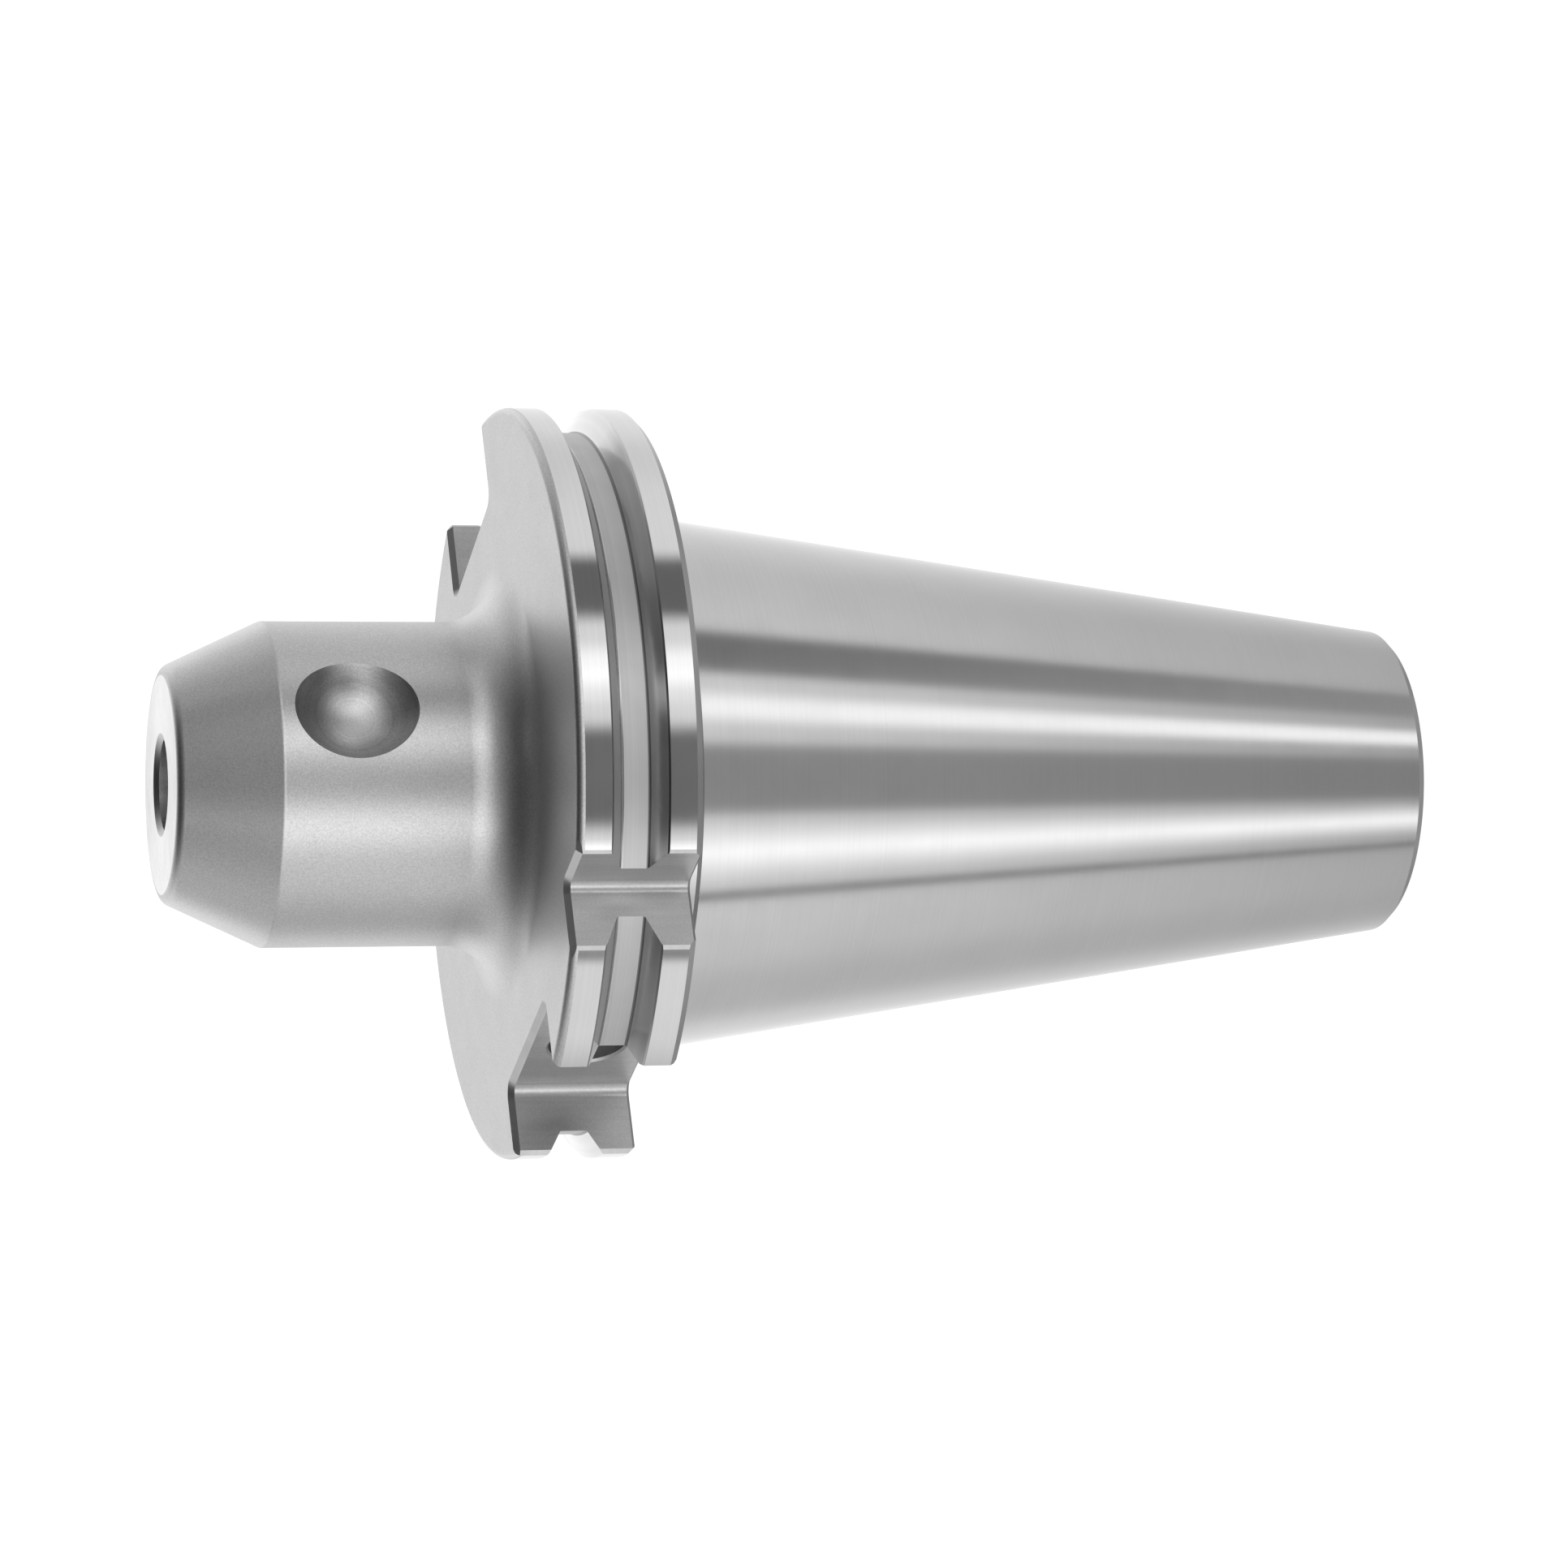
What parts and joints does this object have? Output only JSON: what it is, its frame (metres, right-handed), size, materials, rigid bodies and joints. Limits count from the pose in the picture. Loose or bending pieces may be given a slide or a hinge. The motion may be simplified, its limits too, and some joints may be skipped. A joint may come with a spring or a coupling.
{
  "type": "side lock end mill holder",
  "caption": "Steep taper tool holder with a grooved flange, drive slots and a short cylindrical nose, in which a radial screw clamps an end mill shank in a central bore.",
  "frame": {"origin": "centre of the taper's small end face, on which the holder stands", "axes": "+Z along the axis from the taper to the nose; +X out of the drive slot with the data-carrier hole; the clamp screw at -Y and the balancing dimple at +Y"},
  "size_m": [0.0938, 0.0974, 0.1647],
  "materials": {
    "holder_steel": "satin",
    "screw_steel": "satin"
  },
  "bodies": {
    "holder": {"holder_body": "holder_steel"},
    "screw": {"clamp_screw": "screw_steel"}
  },
  "joints": [
    {"name": "clamp_screw_travel", "type": "slide", "parent": "holder", "child": "screw", "axis": [0, 1, 0], "range_m": [-0.006, 0.0018]}
  ]
}
